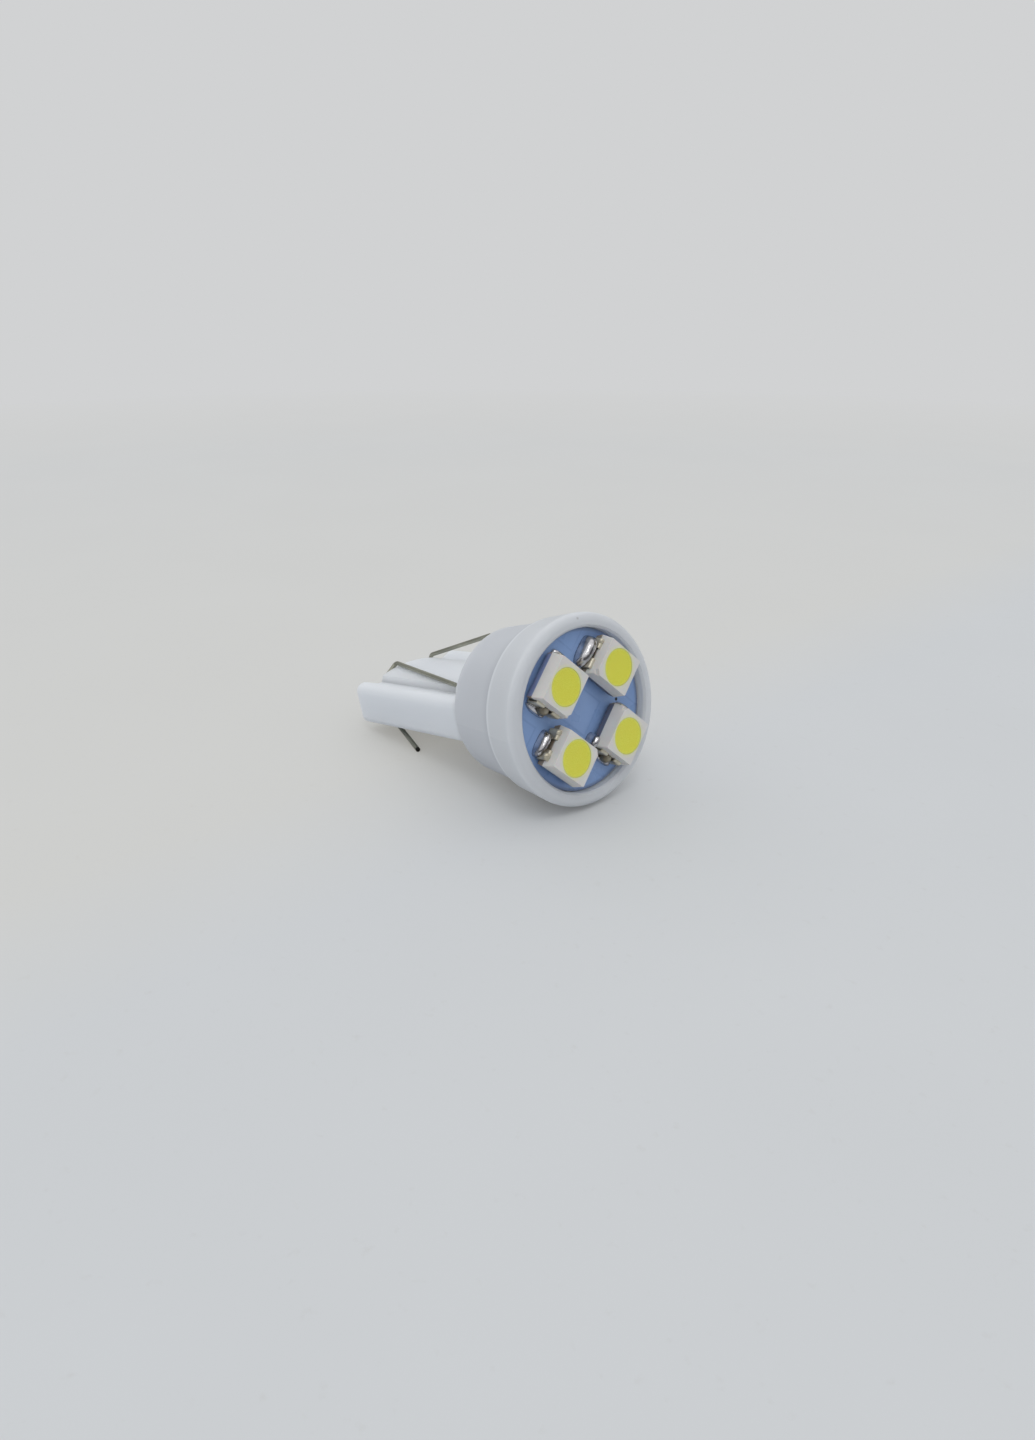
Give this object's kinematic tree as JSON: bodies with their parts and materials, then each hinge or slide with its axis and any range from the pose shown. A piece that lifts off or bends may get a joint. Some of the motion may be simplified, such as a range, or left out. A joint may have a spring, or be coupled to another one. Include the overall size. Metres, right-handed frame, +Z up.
{
  "type": "wedge base led bulb",
  "caption": "Small wedge base LED bulb: a white moulded base with a flat blade and folded contact wires, and a round head whose mouth holds diodes on a blue board.",
  "frame": {"origin": "bottom centre of the bounding box, on the table that the bulb lies on", "axes": "+Z up; +X along the bulb's axis seen from above, from the blade's tail to the diodes; the bulb lies on its side as in the picture, with the diodes' face raised by 12 degrees"},
  "size_m": [0.0216, 0.0122, 0.0122],
  "materials": {
    "base_plastic": "semi-gloss",
    "board_blue": "solder mask",
    "package_white": "matte",
    "window_yellow": "resin",
    "terminal_metal": "tinned",
    "solder": "shiny",
    "contact_wire": "dull tinned",
    "resistor_black": "matte"
  },
  "bodies": {
    "root": {"base_housing": "base_plastic", "circuit_board": "board_blue", "far_wire_solder_joint": "solder", "led_1_left_solder": "solder", "led_1_left_terminal": "terminal_metal", "led_1_package": "package_white", "led_1_right_solder": "solder", "led_1_right_terminal": "terminal_metal", "led_1_window": "window_yellow", "led_2_left_solder": "solder", "led_2_left_terminal": "terminal_metal", "led_2_package": "package_white", "led_2_right_solder": "solder", "led_2_right_terminal": "terminal_metal", "led_2_window": "window_yellow", "led_3_left_solder": "solder", "led_3_left_terminal": "terminal_metal", "led_3_package": "package_white", "led_3_right_solder": "solder", "led_3_right_terminal": "terminal_metal", "led_3_window": "window_yellow", "led_4_left_solder": "solder", "led_4_left_terminal": "terminal_metal", "led_4_package": "package_white", "led_4_right_solder": "solder", "led_4_right_terminal": "terminal_metal", "led_4_window": "window_yellow", "lower_far_contact_wire": "contact_wire", "lower_near_contact_wire": "contact_wire", "lower_resistor": "resistor_black", "lower_resistor_far_solder": "solder", "lower_resistor_near_solder": "solder", "near_wire_solder_joint": "solder", "upper_far_contact_wire": "contact_wire", "upper_near_contact_wire": "contact_wire", "upper_resistor": "resistor_black", "upper_resistor_far_solder": "solder", "upper_resistor_near_solder": "solder"}
  },
  "joints": []
}
